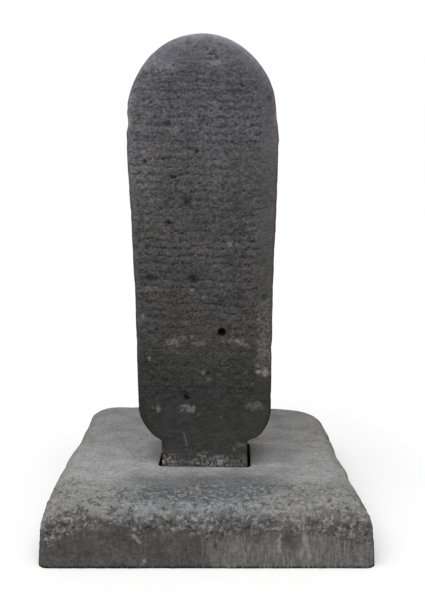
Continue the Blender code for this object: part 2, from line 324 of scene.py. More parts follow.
# Weathering: a rough, crusted band round the rim that hangs down to an uneven line on the front,
# and a rough place on the top in front of the tenon
band_edge = 0.055 * grain(rings, 0.09, 29, 3)
band_foot_points = (
    (-0.56, 0.07), (-0.50, 0.08), (-0.44, 0.105), (-0.37, 0.138), (-0.28, 0.142), (-0.15, 0.13),
    (-0.03, 0.12), (-0.01, 0.11), (0.007, 0.085), (0.028, 0.12), (0.06, 0.13), (0.15, 0.128),
    (0.25, 0.124), (0.40, 0.12), (0.47, 0.095), (0.56, 0.085),
)
band_foot = curve(x, band_foot_points)
above_foot = ramp(z + 0.020 * grain(rings, 0.05, 127, 3) - band_foot, -0.006, 0.008)
front_band = above_foot * ramp(-y + band_edge, 0.34, 0.44)
side_band = upper * ramp(np.abs(x) + 0.5 * band_edge, 0.44, 0.53)
patch_x = np.abs(x + 0.022 + 0.09 * grain(rings, 0.12, 31, 4))
front_patch = upper * ramp(-y + 0.8 * band_edge, 0.215, 0.32) * ramp(patch_x, 0.32, 0.16)
rough = np.clip(0.10 + 0.95 * front_band + 0.35 * side_band + 0.36 * front_patch, 0.0, 1.0)
chips = np.clip(grain(rings, 0.060, 41) - 0.10, 0.0, 1.0) * rim * (0.45 + 0.55 * front_side)
knocks = np.clip(0.5 + 0.5 * grain(rings, (0.16, 0.16, 0.3), 47, 3), 0.0, 1.0)
knocks *= np.where(np.abs(outward[..., 0]) > 0.6, 0.35, 1.0)
small_pits = pits(rings, 0.020, 53)
tooling = np.clip(0.5 + 0.5 * grain(rings, (0.012, 0.012, 0.12), 59, 3), 0.0, 1.0) * upright
sunk = (
    RIM_CHIP_DEPTH * chips
    + KNOCK_DEPTH * knocks * (rim + upright * height_share)
    + CRUST_DEPTH * rough * (1.0 + grain(rings, 0.014, 61, 2))
    + CRUST_PIT_DEPTH * rough * small_pits
    + TOOLING_DEPTH * tooling
    + BLOCK_GRAIN_DEPTH * (1.0 + grain(rings, 0.030, 67, 3))
)
dents = (
    # across, along, half width, half length, depth
    (-0.257, 0.116, 0.030, 0.022, 0.008),
    (-0.235, 0.150, 0.040, 0.012, 0.005),
    (-0.290, 0.085, 0.045, 0.012, 0.004),
    (0.248, 0.138, 0.034, 0.022, 0.006),
    (0.235, 0.068, 0.030, 0.018, 0.005),
    (0.449, 0.320, 0.040, 0.024, 0.006),
    (0.425, 0.230, 0.050, 0.018, 0.006),
    (0.400, 0.160, 0.055, 0.018, 0.006),
    (0.475, 0.179, 0.022, 0.030, 0.007),
    (0.455, 0.090, 0.035, 0.030, 0.007),
    (0.430, 0.021, 0.050, 0.018, 0.005),
    (0.470, -0.058, 0.040, 0.020, 0.005),
)
for dent_x, dent_y, reach_x, reach_y, depth in dents:
    away = ((x - dent_x - 0.3 * (y - dent_y)) / reach_x) ** 2 + ((y - dent_y) / reach_y) ** 2
    sunk += depth * upper * flat_top * np.clip(1.0 - away, 0.0, 1.0) ** 2
front_notches = (
    # across, height, half width, half height, depth
    (-0.446, 0.175, 0.024, 0.014, 0.010),
    (-0.372, 0.152, 0.022, 0.018, 0.010),
    (-0.325, 0.138, 0.020, 0.014, 0.008),
    (-0.235, 0.150, 0.022, 0.014, 0.006),
    (-0.110, 0.150, 0.024, 0.014, 0.005),
    (0.070, 0.150, 0.024, 0.014, 0.005),
    (0.205, 0.150, 0.020, 0.014, 0.007),
    (0.370, 0.150, 0.024, 0.014, 0.005),
    (0.450, 0.140, 0.024, 0.018, 0.007),
    (-0.500, 0.110, 0.022, 0.018, 0.006),
    (0.280, 0.092, 0.036, 0.038, 0.003),
)
notched = np.zeros_like(x)
for across, height, reach_x, reach_z, depth in front_notches:
    away = ((x - across) / reach_x) ** 2 + ((z - height) / reach_z) ** 2
    notched += depth * front_side * np.clip(1.0 - away, 0.0, 1.0) ** 1.5
shift = weathered * (wave * height_share + wander - sunk - notched)
moved = rings + outward * shift[..., None]
moved[..., 0] = np.clip(moved[..., 0], cad_box[0][0], cad_box[1][0])
moved[..., 1] = np.clip(moved[..., 1], cad_box[0][1], cad_box[1][1])
moved[..., 2] = np.where(z <= 0.0, 0.0, moved[..., 2])


def blot(places, across, up, at, reach, seed=17, uneven=0.35):
    """1 at a place and 0 past an uneven ellipse round it: a smooth step of the distance in the two
    coordinates, as a share of the reach, plus a small cloud over the points' places."""
    away = np.hypot((across - at[0]) / reach[0], (up - at[1]) / reach[1])
    return ramp(away + uneven * cloud(places, 0.012, seed), 1.05, 0.35)


# Colour: how light the stone is at each point, before the grain of the material
top_face = ramp(outward[..., 2], 0.25, 0.85) * upper
level_streaks = grain(rings, (0.20, 0.05, 0.2), 103, 4)
# Painted shade darkens the top a little towards the right, as if lit from the left
top_shade = TOP_LIGHT - 0.030 * ramp(x, -0.1, 0.35) + 0.040 * level_streaks
top_shade += 0.050 * ramp(-y, -0.12, 0.10) - 0.05 * ramp(y, 0.1, 0.5)
top_shade += (PATCH_LIGHT - top_shade) * 0.85 * front_patch * ramp(-y, 0.53, 0.46)
pale_half = ramp(x, -0.03, 0.05) * ramp(z + 0.02 * level_streaks, 0.115, 0.085)
side_shade = SHADED_SIDE_LIGHT + 0.068 * pale_half * front_side
side_shade += 0.030 * ramp(x, 0.08, 0.28) * front_side * ramp(z, 0.08, 0.11)
side_shade += 0.016 * grain(rings, (0.05, 0.05, 0.3), 107, 4) + 0.014 * grain(rings, 0.045, 113, 3)
# Painted shade: the sides are darker than the top, the same stone getting less light there
shade = side_shade + (top_shade - side_shade) * top_face
crust = front_band * (1.0 - top_face)
shade += (CRUST_LIGHT - shade) * 0.9 * crust
# Painted shade darkens the front notches
shade *= 1.0 - 0.35 * np.clip(notched / DEEPEST_NOTCH, 0.0, 1.0)
# The top's back edge runs askew, and painted shade darkens a thin line along it, where the
# rounded edge turns away from the light
back_slant = BACK_SKEW * 0.47 * (1.0 + 2.0 * x / PLINTH_WIDTH)
from_back = PLINTH_DEPTH / 2 - RIM_RADIUS * BACK_RIM_SHARE - back_slant - y
shade *= 1.0 - 0.80 * ramp(from_back, 0.018, 0.002) * upper
# A painted contact shadow darkens the line at the foot, and painted shade darkens the outer
# edges of the two long sides
shade *= 1.0 - 0.85 * ramp(z, 0.0095, 0.004) * upright
shade *= 1.0 - 0.65 * ramp(np.abs(outward[..., 0]), 0.80, 0.97)
dark_spots = (
    # across, height, half width, half height, lightness, strength
    (0.282, 0.092, 0.040, 0.042, 0.082, 0.9),
    (0.039, 0.075, 0.008, 0.016, 0.040, 0.8),
    (0.050, 0.110, 0.030, 0.016, 0.070, 0.7),
    (-0.460, 0.060, 0.050, 0.030, 0.060, 0.6),
    (-0.325, 0.110, 0.050, 0.020, 0.060, 0.6),
    (-0.180, 0.080, 0.060, 0.050, 0.075, 0.4),
    (-0.030, 0.060, 0.045, 0.050, 0.070, 0.5),
    (0.460, 0.080, 0.050, 0.040, 0.100, 0.5),
)
for across, up, reach_x, reach_z, light, strength in dark_spots:
    spot = strength * front_side * upright * blot(rings, x, z, (across, up), (reach_x, reach_z))
    shade += (light - shade) * spot
bare_spots = (
    # across, height, half width, half height, lean
    (-0.225, 0.129, 0.008, 0.008, 0.0),
    (-0.224, 0.107, 0.012, 0.012, -0.6),
    (-0.213, 0.091, 0.007, 0.008, -0.6),
    (-0.334, 0.143, 0.009, 0.007, 0.0),
    (-0.360, 0.134, 0.007, 0.006, -0.5),
    (-0.194, 0.022, 0.007, 0.009, 0.0),
    (0.323, 0.145, 0.006, 0.045, 0.0),
    (0.328, 0.090, 0.009, 0.040, -0.12),
    (0.317, 0.050, 0.006, 0.024, 0.25),
    (0.341, 0.045, 0.007, 0.028, -0.1),
    (0.245, 0.085, 0.009, 0.044, 0.05),
    (-0.446, 0.160, 0.008, 0.008, 0.0),
    (0.455, 0.152, 0.014, 0.006, 0.0),
)
bare = np.zeros_like(x)
for across, up, reach_x, reach_z, lean in bare_spots:
    place = x - lean * (z - up)
    spot = front_side * blot(rings, place, z, (across, up), (reach_x, reach_z), 19, 0.7)
    bare = np.maximum(bare, spot)
streaked = 0.12 + 0.70 * ramp(x + 0.03 * level_streaks, -0.06, 0.12)
streaked *= 1.0 - 0.9 * blot(rings, x, z, (0.282, 0.090), (0.046, 0.050))
brown = ramp(x, 0.36, 0.46) * ramp(y, -0.08, 0.05) * top_face
brown = brown + blot(rings, x, y, (0.24, 0.10), (0.06, 0.10)) * top_face
earthy = (1.0 - top_face) * (0.10 + 0.05 * grain(rings, 0.08, 109, 3))
red_blue = earthy + 0.09 * np.clip(brown, 0.0, 1.0) - 0.08 * front_patch
# The specks of the dark patch are weaker than those of the crust
speckled = rough - 0.18 * front_patch * ramp(-y, 0.53, 0.44)
tones = {
    "stone_colour": stone_colour(shade, red_blue, 0.012 * crust),
    "rough": speckled * weathered,
    "streaked": streaked * front_side * upright * (1.0 - crust),
    "bare": bare,
    # sunk also darkens the colour in the material: painted shade in the hollows
    "sunk": np.clip(sunk / DEEPEST_WEAR, 0.0, 1.0),
    "mottled": top_face * (0.35 + 0.65 * ramp(-y, -0.05, 0.35)),
}
plinth = stone_piece("plinth_stone", moved, tones, (True, True))


class Nodes:
    """Adds nodes to one material: each call makes a node, sets its inputs and gives back its
    output."""

    def __init__(self, name, roughness):
        """A new matt material of this roughness, with the point's own place as the coordinate."""
        self.material = bpy.data.materials.new(name)
        self.material.use_nodes = True
        self.tree = self.material.node_tree
        self.shader = self.tree.nodes["Principled BSDF"]
        self.shader.inputs["Roughness"].default_value = roughness
        self.shader.inputs["Specular IOR Level"].default_value = 0.25
        self.place = self.add("TexCoord").outputs["Object"]

    def put(self, target, value):
        """Links an output to an input, or sets the input's plain value."""
        if isinstance(value, bpy.types.NodeSocket):
            self.tree.links.new(value, target)
        else:
            target.default_value = value

    def add(self, kind, fields=(), sockets=()):
        """A node of this kind with these fields and inputs."""
        made = self.tree.nodes.new("ShaderNode" + kind)
        for field, value in dict(fields).items():
            setattr(made, field, value)
        for socket, value in dict(sockets).items():
            self.put(made.inputs[socket], value)
        return made

    def tone(self, name, output="Fac"):
        """A value or colour that the mesh keeps on its points."""
        return self.add("Attribute", {"attribute_name": name}).outputs[output]

    def noise(self, scale, detail=5.0, roughness=0.6, stretch=(1.0, 1.0, 1.0)):
        """Noise from 0 to 1: octaves of doubling scale and of strength falling by roughness."""
        mapping = self.add("Mapping", sockets={"Vector": self.place, "Scale": stretch})
        place = mapping.outputs["Vector"]
        sockets = {"Vector": place, "Scale": scale, "Detail": detail, "Roughness": roughness}
        return self.add("TexNoise", sockets=sockets).outputs["Fac"]

    def between(self, value, low, high, start=0.0, end=1.0):
        """start below low, end above high and a smooth step between."""
        sockets = {0: value, 1: low, 2: high, 3: start, 4: end}
        return self.add("MapRange", {"interpolation_type": "SMOOTHSTEP"}, sockets).outputs["Result"]

    def times(self, first, second):
        """The product of two values."""
        return self.add("Math", {"operation": "MULTIPLY"}, {0: first, 1: second}).outputs[0]

    def plus(self, first, second):
        """The sum of two values."""
        return self.add("Math", {"operation": "ADD"}, {0: first, 1: second}).outputs[0]

    def scaled(self, colour, factor):
        """A colour with each channel times a factor."""
        sockets = {"Vector": colour, "Scale": factor}
        return self.add("VectorMath", {"operation": "SCALE"}, sockets).outputs["Vector"]

    def mix(self, share, first, second):
        """The first colour where share is 0, the second where it is 1, and their blend between."""
        fields = {"data_type": "RGBA"}
        return self.add("Mix", fields, {0: share, 6: first, 7: second}).outputs[2]

    def bump(self, height, strength, distance):
        """Normals tilted by the slope of a height that is worth this distance."""
        sockets = {"Height": height, "Strength": strength, "Distance": distance}
        return self.add("Bump", sockets=sockets).outputs["Normal"]


def grey(value, warm=0.0):
    """A grey of this linear brightness, its red raised and its blue lowered by the share warm."""
    return (value * (1.0 + warm), value, value * (1.0 - warm), 1.0)


n = Nodes("weathered_grey_stone", 0.92)
rough_tone = n.tone("rough")
fine = n.noise(95.0, 4.0, 0.65)
clouds = n.between(n.noise(14.0, 6.0, 0.65), 0.3, 0.7, 0.86, 1.14)
colour = n.scaled(n.tone("stone_colour", "Color"), clouds)
colour = n.scaled(colour, n.between(fine, 0.3, 0.7, 0.80, 1.20))
streaks = n.noise(140.0, 3.0, 0.65, (1.0, 1.0, 0.13))
pale_streaks = n.times(n.tone("streaked"), n.between(streaks, 0.50, 0.62))
dark_streaks = n.times(n.tone("streaked"), n.between(streaks, 0.45, 0.34, 0.0, 0.6))
colour = n.mix(pale_streaks, colour, grey(0.230, 0.08))
colour = n.mix(dark_streaks, colour, grey(0.055, 0.08))
# Lichen and bare grains speckle the rough parts, light and dark
dark_specks = n.between(n.noise(48.0, 5.0, 0.7), 0.50, 0.60)
light_specks = n.between(n.noise(66.0, 5.0, 0.68), 0.51, 0.60)
colour = n.mix(n.times(n.times(dark_specks, rough_tone), 0.80), colour, grey(0.080, 0.03))
colour = n.mix(n.times(n.times(light_specks, rough_tone), 0.95), colour, grey(0.420, 0.03))
mottle = n.between(n.noise(30.0, 6.0, 0.7, (0.7, 1.0, 1.0)), 0.50, 0.66, 0.0, 0.5)
colour = n.mix(n.times(mottle, n.tone("mottled")), colour, (0.150, 0.150, 0.135, 1.0))
# Painted shade darkens the sunk places: chips, pits and dents
colour = n.scaled(colour, n.between(n.tone("sunk"), 0.2, 1.0, 1.0, 0.70))
colour = n.mix(n.times(n.tone("bare"), 0.9), colour, grey(0.300, 0.03))
n.put(n.shader.inputs["Base Color"], colour)
relief = n.times(n.noise(80.0, 6.0, 0.65), n.plus(n.times(rough_tone, 1.6), 0.4))
relief = n.plus(relief, n.times(fine, 0.4))
n.put(n.shader.inputs["Normal"], n.bump(relief, 1.0, 0.008))
plinth.data.materials.append(n.material)
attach(plinth, "root")
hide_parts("plinth")

# ---- Stele ----
# One upright slab of dark, fine-pitted volcanic stone with a round head. The tenon below its
# shoulders is part of the same stone and stands in the plinth's mortise. The front carries rows of
# shallow, worn chisel strokes.
STELE_HEIGHT = 1.552
SLAB_THICKNESS = 0.250
HEAD_WIDTH = 0.537
WAIST_WIDTH = 0.494
CROWN_RISE = 0.315
CROWN_FULLNESS = 2.08
SHOULDER_TOP = 0.220
SHOULDER_DROP = 0.120
LEFT_FULLNESS = 1.5
RIGHT_FULLNESS = 1.9
ARRIS_RADIUS = 0.028
TENON_ARRIS = 0.008
TENON_WIDTH = 0.322
TENON_LENGTH = 0.120
SLAB_LEAN = 0.0052
SLAB_WEAR = 0.0025
TEXT_HEAD = 1.455
TEXT_FOOT = 0.262
ROW_PITCH = 0.0285
FRONT_COLUMNS, ARRIS_COLUMNS, SIDE_COLUMNS, BACK_COLUMNS = 148, 5, 5, 18
TENON_RINGS, NECK_RINGS, SHOULDER_RINGS, BODY_RINGS, CROWN_RINGS = 6, 32, 34, 294, 128
APEX_MARGIN = 0.0002
# How deep each kind of wear goes into the slab, and how far its sides stand out
STROKE_DEPTH = 0.0042
SLAB_GRAIN_DEPTH = 0.0008
RUBBLE_DEPTH = 0.0014
SMALL_PIT_DEPTH = 0.0026
LARGE_PIT_DEPTH = 0.0045
ARRIS_CHIP_DEPTH = 0.003
SLAB_SIDES_OUT = 0.0028
# The bored hole and the gouge, across and up the face
BORE_PLACE = (0.0624, 0.509)
BORE_RADIUS = 0.0165
BORE_DEPTH = 0.030
GOUGE_START = (-0.062, 0.683)
GOUGE_RUN = (0.050, -0.043)
GOUGE_REACH = 0.008
GOUGE_DEPTH = 0.004


def side_outline(side_fullness):
    """Half width and height of the slab's outline from the tenon's foot to the apex: straight
    tenon, quarter superellipse shoulder, body widening with the power 1.5 of its height, and a
    superellipse crown."""
    neck, waist, head = TENON_WIDTH / 2, WAIST_WIDTH / 2, HEAD_WIDTH / 2
    foot, spring = SHOULDER_TOP - SHOULDER_DROP, STELE_HEIGHT - CROWN_RISE
    z = np.concatenate(
        [
            np.linspace(-TENON_LENGTH, -0.012, TENON_RINGS),
            np.linspace(-0.008, foot, NECK_RINGS, endpoint=False),
            np.linspace(foot, SHOULDER_TOP, SHOULDER_RINGS, endpoint=False),
            np.linspace(SHOULDER_TOP, spring, BODY_RINGS, endpoint=False),
        ]
    )
    drop = np.clip((SHOULDER_TOP - z) / SHOULDER_DROP, 0.0, 1.0)
    shoulder = neck + (waist - neck) * (1.0 - drop**side_fullness) ** (1.0 / side_fullness)
    share = np.clip((z - SHOULDER_TOP) / (spring - SHOULDER_TOP), 0.0, 1.0)
    body = waist + (head - waist) * share**1.5
    half = np.where(z < SHOULDER_TOP, shoulder, body)
    turn = np.linspace(0.0, np.pi / 2, CROWN_RINGS)
    power = 2.0 / CROWN_FULLNESS
    half = np.concatenate([half, head * np.cos(turn) ** power])
    z = np.concatenate([z, spring + CROWN_RISE * np.sin(turn) ** power])
    # The sharp inner corner under the shoulder is worn into a small hollow
    worn = ramp(z, 0.04, 0.07) * ramp(z, 0.20, 0.17)
    kernel = np.exp(-(np.linspace(-2, 2, 9) ** 2))
    soft = np.convolve(np.pad(half, 4, mode="edge"), kernel / kernel.sum(), mode="valid")
    half = half + worn * (soft - half)
    half[-1] = 0.0
    return half, z


def quarter_turn(outer, inner, radius, angles, side):
    """Quarter round from the slab's side to its face: a point moves in by 1 - cos and out to the
    face by sin of the angle. side is -1 for the front and 1 for the back."""
    plan = outer[:, None] + (inner - outer)[:, None] * (1.0 - np.cos(angles))[:, None]
    depth = side * (SLAB_THICKNESS / 2 - radius[:, None] * (1.0 - np.sin(angles)))
    return np.concatenate([plan[..., :1], depth[..., None], plan[..., 1:]], axis=-1)


def straight_run(start, end, count, depth_start, depth_end):
    """Points spaced evenly between two points of each level, without the two ends."""
    share = np.linspace(0.0, 1.0, count + 1)[1:-1]
    plan = start[:, None] + (end - start)[:, None] * share[:, None]
    depth = depth_start[:, None] + (depth_end - depth_start)[:, None] * share
    return np.concatenate([plan[..., :1], depth[..., None], plan[..., 1:]], axis=-1)


def slab_rings():
    """The slab as level rings. On each ring the front runs straight between two points that lie one
    arris radius inside the outline, a quarter circle turns it into the side, and the back mirrors
    the front."""
    ends = []
    for fullness in (LEFT_FULLNESS, RIGHT_FULLNESS):
        half, z = side_outline(fullness)
        tangent = np.stack([np.gradient(half), np.gradient(z)], axis=-1)
        tangent /= np.linalg.norm(tangent, axis=-1, keepdims=True)
        share = np.clip(1.0 - (SHOULDER_TOP - z) / SHOULDER_DROP, 0.0, 1.0)
        radius = TENON_ARRIS + (ARRIS_RADIUS - TENON_ARRIS) * share
        outer = np.stack([half, z], axis=-1)
        inner = outer + radius[:, None] * np.stack([-tangent[:, 1], tangent[:, 0]], axis=-1)
        inner[:, 0] = np.maximum(inner[:, 0], 0.0)
        ends.append((outer, inner))
    (left_out, left_in), (right_out, right_in) = ends
    left_out, left_in = left_out * (-1.0, 1.0), left_in * (-1.0, 1.0)
    angles = np.linspace(0.0, np.pi / 2, ARRIS_COLUMNS + 1)
    face = np.full_like(z, SLAB_THICKNESS / 2)
    edge = face - radius
    parts = [
        quarter_turn(left_out, left_in, radius, angles, -1.0),
        straight_run(left_in, right_in, FRONT_COLUMNS, -face, -face),
        quarter_turn(right_out, right_in, radius, angles[::-1], -1.0),
        straight_run(right_out, right_out, SIDE_COLUMNS, -edge, edge),
        quarter_turn(right_out, right_in, radius, angles, 1.0),
        straight_run(right_in, left_in, BACK_COLUMNS, face, face),
        quarter_turn(left_out, left_in, radius, angles[::-1], 1.0),
        straight_run(left_out, left_out, SIDE_COLUMNS, edge, -edge),
    ]
    return np.concatenate(parts, axis=1)


def chisel_strokes(x, z):
    """Depth, 0 to 1, of rows of strokes that are no letters. Each row is split into cells, each
    cell holds one stroke of random place, length and slant, and the depth falls with the distance
    to the stroke."""
    rows = int((TEXT_HEAD - TEXT_FOOT) / ROW_PITCH)
    chance = np.random.default_rng(7)
    down = (TEXT_HEAD - z) / ROW_PITCH + 0.12 * np.sin(9.0 * x + 3.0)
    down += 0.10 * np.sin(31.0 * x + 1.7 * z)
    row = np.floor(down).astype(int)
    inside = (row >= 0) & (row < rows)
    row = np.clip(row, 0, rows - 1)
    pz = (0.5 - (down - np.floor(down))) * ROW_PITCH
    depth = np.zeros_like(x)
    layers = (
        # cell width, half length from and to, slant, spread of the slant, height spread,
        # half width, share of cells with a stroke, depth
        (0.055, 0.0080, 0.0200, 0.0, 0.06, 0.0030, 0.0028, 0.28, 0.7),
        (0.0170, 0.0025, 0.0070, 0.0, 0.35, 0.0045, 0.0038, 0.80, 1.0),
        (0.0140, 0.0010, 0.0040, 1.2, 0.60, 0.0050, 0.0034, 0.45, 0.9),
        (0.0115, 0.0000, 0.0025, 0.0, 0.60, 0.0120, 0.0036, 0.50, 0.9),
    )
    for width, shortest, longest, slant, spread, rise, thickness, share, deepest in layers:
        cells = int(0.64 / width)
        shape = (rows, cells)
        along = x / width + cells / 2 + chance.uniform(0.0, 1.0, rows)[row]
        cell = np.clip(np.floor(along).astype(int), 0, cells - 1)
        at = row, cell
        angle = chance.normal(slant, spread, shape)[at]
        half = chance.uniform(shortest, longest, shape)[at]
        dx = (along - np.floor(along) - chance.uniform(0.35, 0.65, shape)[at]) * width
        dz = pz - chance.uniform(-rise, rise, shape)[at]
        thick = thickness * chance.uniform(0.75, 1.25, shape)[at]
        is_cut = chance.uniform(size=shape) < share
        strength = np.where(is_cut, chance.uniform(0.5, 1.0, shape), 0.0)[at]
        c, s = np.cos(angle), np.sin(angle)
        over = np.maximum(np.abs(dx * c + dz * s) - half, 0.0)
        off = np.hypot(over, -dx * s + dz * c) / thick
        depth = np.maximum(depth, deepest * strength * np.clip(1.0 - off**2, 0.0, 1.0))
    return depth * inside


rings = slab_rings()
x, y, z = rings[..., 0], rings[..., 1], rings[..., 2]
outward = facing(rings)
if outward[len(rings) // 2, :FRONT_COLUMNS, 1].mean() > 0:
    outward = -outward
on_flat = np.abs(y) > SLAB_THICKNESS / 2 - 1e-6
outward = np.where(on_flat[..., None], np.stack([0.0 * y, np.sign(y), 0.0 * y], axis=-1), outward)
seen_x = x - SLAB_LEAN * np.maximum(0.0, z)
on_face = ramp(-y, 0.110, 0.1245)
on_front = ramp(-y, 0.02, 0.10)
fade = ramp(z, 0.0, 0.03)
body = 0.4 + 0.6 * ramp(z, 0.16, 0.34)
half_here = np.interp(z, *side_outline(RIGHT_FULLNESS)[::-1])
from_edge = half_here - np.abs(x)
edge = ramp(from_edge, 0.035, 0.0)
sideways = np.hypot(outward[..., 0], outward[..., 2])
plain_edge = np.where(x > 0, 0.050, 0.018)
text_area = ramp(from_edge - plain_edge, 0.0, 0.014) * on_face
right_strip = ramp(x, 0.0, 0.1) * ramp(from_edge, 0.066, 0.050) * on_front
legible = np.clip(0.85 + 0.55 * grain(rings, (0.15, 1.0, 0.10), 71, 3), 0.15, 1.0)
legible *= 0.55 + 0.45 * ramp(z, 0.35, 0.75)
legible *= 0.45 + 0.55 * ramp(z, 1.47, 1.22)
strokes = chisel_strokes(x, z) * text_area * legible
coarse = grain(rings, 0.050, 73, 4)
up_crown = np.maximum(0.0, z - STELE_HEIGHT + CROWN_RISE) / CROWN_RISE
crown_share = np.hypot(2.0 * x / HEAD_WIDTH, up_crown)
rim_calm = 1.0 - 0.85 * ramp(crown_share, 0.80, 0.90) * ramp(z, 1.36, 1.44)
rubble = grain(rings, (0.015, 0.015, 0.010), 79, 1) * rim_calm
small = pits(rings, 0.013, 83, 0.18, 0.45) * rim_calm
larger = pits(rings + 0.3, 0.050, 89, 0.06, 0.20) * ramp(cloud(rings, 0.2, 101), -0.3, 0.2)
chips = np.clip(grain(rings, 0.045, 97, 3) - 0.05, 0.0, 1.0)
# How far the two worn sides stand back from the even outline, at these heights
right_back_points = (
    (0.20, 0.001), (0.50, 0.002), (0.58, 0.004), (0.66, 0.005), (0.76, 0.002), (0.95, 0.0),
    (1.10, -0.003), (1.19, -0.002), (1.23, 0.003), (1.275, 0.008), (1.31, 0.005), (1.36, 0.001),
    (1.42, 0.002), (1.50, 0.005), (1.55, 0.002),
)
right_back = curve(z, right_back_points)
left_back_points = (
    (0.20, 0.001), (0.95, 0.001), (1.15, 0.001), (1.22, 0.003), (1.245, 0.009), (1.265, 0.008),
    (1.29, 0.003), (1.32, 0.001), (1.50, 0.001), (1.55, 0.002),
)
left_back = curve(z, left_back_points)
side_back = np.where(x < 0, left_back, right_back) * ramp(from_edge, 0.06, 0.0) * fade
sunk = fade * (
    STROKE_DEPTH * strokes
    + SLAB_GRAIN_DEPTH * (1.0 + coarse)
    + RUBBLE_DEPTH * (1.0 + rubble) * body * (0.3 + 0.7 * on_face)
    + SMALL_PIT_DEPTH * small * body * (0.4 + 0.6 * on_face)
    + LARGE_PIT_DEPTH * larger * on_front
    + ARRIS_CHIP_DEPTH * chips * edge * on_front
    + side_back
    - SLAB_SIDES_OUT * sideways * ramp(z, 0.05, 0.15)
)
dents = (
    # across, height, half width, half height, depth, darkness of the painted shade
    (0.000, 1.256, 0.008, 0.008, 0.004, 0.3),
    (-0.124, 1.246, 0.013, 0.015, 0.008, 0.45),
    (-0.190, 1.198, 0.040, 0.018, 0.005, 0.2),
    (-0.022, 1.152, 0.013, 0.010, 0.007, 0.5),
    (-0.052, 1.163, 0.030, 0.006, 0.003, 0.35),
    (-0.205, 1.118, 0.009, 0.009, 0.009, 0.75),
    (-0.105, 1.064, 0.015, 0.008, 0.007, 0.5),
    (-0.060, 0.976, 0.019, 0.018, 0.010, 0.65),
    (-0.055, 0.986, 0.030, 0.024, 0.004, 0.2),
    (-0.128, 0.905, 0.018, 0.012, 0.008, 0.65),
    (-0.193, 0.706, 0.028, 0.018, 0.007, 0.5),
    (-0.040, 0.703, 0.024, 0.022, 0.008, 0.5),
    (0.062, 0.618, 0.018, 0.016, 0.004, 0.25),
    (0.071, 0.604, 0.008, 0.008, 0.008, 0.6),
    (0.213, 0.634, 0.013, 0.018, 0.005, 0.4),
    (-0.066, 0.260, 0.014, 0.013, 0.013, 0.8),
    (-0.072, 0.272, 0.024, 0.018, 0.004, 0.3),
    (0.010, 0.354, 0.016, 0.012, 0.006, 0.45),
    (0.028, 1.478, 0.020, 0.006, 0.006, 0.55),
    (0.044, 1.468, 0.008, 0.011, 0.005, 0.5),
    (0.012, 1.492, 0.007, 0.011, 0.004, 0.35),
    (0.036, 1.487, 0.008, 0.006, 0.004, 0.4),
    (0.020, 1.462, 0.012, 0.004, 0.004, 0.3),
    (0.126, 1.372, 0.030, 0.010, 0.003, 0.1),
    (0.228, 1.322, 0.012, 0.022, 0.005, 0.1),
)
hollow = np.zeros_like(x)
dent_shade_and_brown = np.zeros_like(x)
for across, height, reach_x, reach_z, depth, dark in dents:
    away = ((seen_x - across) / reach_x) ** 2 + ((z - height) / reach_z) ** 2
    away = away + 0.25 * cloud(rings, 0.010, 163)
    inside = on_face * np.clip(1.0 - away, 0.0, 1.0) ** 1.3
    hollow += depth * inside
    dent_shade_and_brown = np.maximum(dent_shade_and_brown, dark * inside)
# The bored hole: its edge is crisp and its floor lies deep
bore_away = np.hypot(seen_x - BORE_PLACE[0], z - BORE_PLACE[1]) / BORE_RADIUS
bored = on_face * np.clip(1.0 - bore_away**2, 0.0, 1.0) ** 0.6
# A gouge runs down to the right from one hollow
past_x, past_z = seen_x - GOUGE_START[0], z - GOUGE_START[1]
run = past_x * GOUGE_RUN[0] + past_z * GOUGE_RUN[1]
run = np.clip(run / (GOUGE_RUN[0] ** 2 + GOUGE_RUN[1] ** 2), 0.0, 1.0)
gouge_away = np.hypot(past_x - GOUGE_RUN[0] * run, past_z - GOUGE_RUN[1] * run)
hollow += GOUGE_DEPTH * on_face * np.clip(1.0 - (gouge_away / GOUGE_REACH) ** 2, 0.0, 1.0)
moved = rings - outward * (sunk + hollow + BORE_DEPTH * bored)[..., None]
lean_fade = np.clip(z / SHOULDER_TOP, 0.0, 1.0)
moved[..., 0] += seen_x - x + lean_fade * SLAB_WEAR * swell(y, z)
moved[..., 1] += lean_fade * SLAB_WEAR * swell(x, z)
moved[..., 2] = np.minimum(moved[..., 2], STELE_HEIGHT - APEX_MARGIN)
c, s = np.cos(SETTING_TURN), np.sin(SETTING_TURN)
placed = np.stack(
    [
        SETTING_PLACE[0] + c * moved[..., 0] - s * moved[..., 1],
        SETTING_PLACE[1] + s * moved[..., 0] + c * moved[..., 1],
        PLINTH_HEIGHT + moved[..., 2],
    ],
    axis=-1,
)

# Colour: darker towards the foot, partly stain and partly painted shade; lighter on the crown,
# partly worn and partly painted light; lighter along the left side, with scattered pale patches
shade_points = (
    (0.0, 0.055), (0.10, 0.049), (0.20, 0.048), (0.28, 0.050), (0.36, 0.056), (0.47, 0.071),
    (0.62, 0.086), (0.80, 0.096), (1.00, 0.109), (1.15, 0.127), (1.30, 0.134), (1.42, 0.140),
    (1.50, 0.190), (1.552, 0.280),
)
shade = curve(z, shade_points)
shade *= 1.0 + 0.30 * ramp(x, -0.13, -0.20) * ramp(z, 0.80, 1.05) * ramp(z, 1.50, 1.35)
shade *= 1.0 - 0.12 * ramp(x, -0.08, -0.20) * ramp(z, 0.46, 0.40)
lumps = grain(rings, (0.022, 0.022, 0.015), 137, 2) * (1.0 - 0.5 * right_strip)
shade *= 1.0 + 0.15 * grain(rings, 0.09, 131, 4) + 0.32 * lumps
# Painted shade darkens the strokes and pits; painted highlights lighten the lettered area between
pit_shade = 0.30 * small * body * on_front
shade *= 1.0 - 0.68 * strokes + 0.18 * text_area * legible - pit_shade - 0.35 * larger
